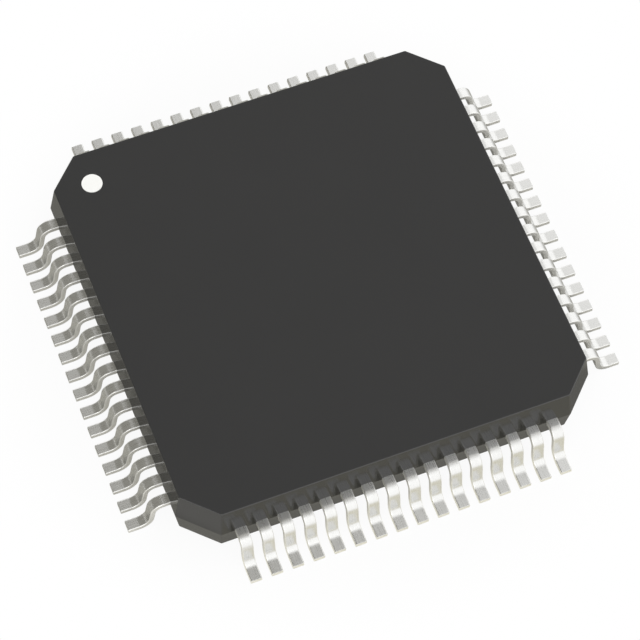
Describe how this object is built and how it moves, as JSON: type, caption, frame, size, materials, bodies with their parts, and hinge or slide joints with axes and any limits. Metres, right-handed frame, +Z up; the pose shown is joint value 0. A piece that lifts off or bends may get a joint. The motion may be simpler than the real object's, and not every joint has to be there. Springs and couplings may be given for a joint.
{
  "type": "microcontroller",
  "caption": "Surface-mount microcontroller in a square black quad flat package, with gull-wing leads on every side and a white index dot.",
  "frame": {"origin": "centre of the package, on the plane that the lead feet stand on", "axes": "+Z up through the marked top; the pin-one corner with its white dot is at -X, +Y; leads are numbered from there, counter-clockwise as seen from above"},
  "size_m": [0.012, 0.012, 0.0016],
  "materials": {
    "moulding_compound": "dark grey silica-filled epoxy moulding compound, fine matte spark-eroded texture on the top, smoother sides",
    "white_ink": "printed white ink film",
    "tinned_copper": "satin tin plating on copper alloy, faint lines along each lead",
    "bare_copper": "bare copper alloy leadframe stock",
    "die_adhesive": "silver-filled epoxy adhesive",
    "silicon": "diced silicon, polished face",
    "gold_wire": "bright drawn gold wire"
  },
  "bodies": {
    "root": {"moulded_body": "moulding_compound", "pin_one_mark": "white_ink", "die_pad": "bare_copper", "die_attach": "die_adhesive", "silicon_die": "silicon", "bond_wires_left": "gold_wire", "bond_wires_front": "gold_wire", "bond_wires_right": "gold_wire", "bond_wires_back": "gold_wire", "leads_01_02": "tinned_copper", "leads_03_04": "tinned_copper", "leads_05_06": "tinned_copper", "leads_07_08": "tinned_copper", "leads_09_10": "tinned_copper", "leads_11_12": "tinned_copper", "leads_13_14": "tinned_copper", "leads_15_16": "tinned_copper", "leads_17_18": "tinned_copper", "leads_19_20": "tinned_copper", "leads_21_22": "tinned_copper", "leads_23_24": "tinned_copper", "leads_25_26": "tinned_copper", "leads_27_28": "tinned_copper", "leads_29_30": "tinned_copper", "leads_31_32": "tinned_copper", "leads_33_34": "tinned_copper", "leads_35_36": "tinned_copper", "leads_37_38": "tinned_copper", "leads_39_40": "tinned_copper", "leads_41_42": "tinned_copper", "leads_43_44": "tinned_copper", "leads_45_46": "tinned_copper", "leads_47_48": "tinned_copper", "leads_49_50": "tinned_copper", "leads_51_52": "tinned_copper", "leads_53_54": "tinned_copper", "leads_55_56": "tinned_copper", "leads_57_58": "tinned_copper", "leads_59_60": "tinned_copper", "leads_61_62": "tinned_copper", "leads_63_64": "tinned_copper"}
  },
  "joints": []
}
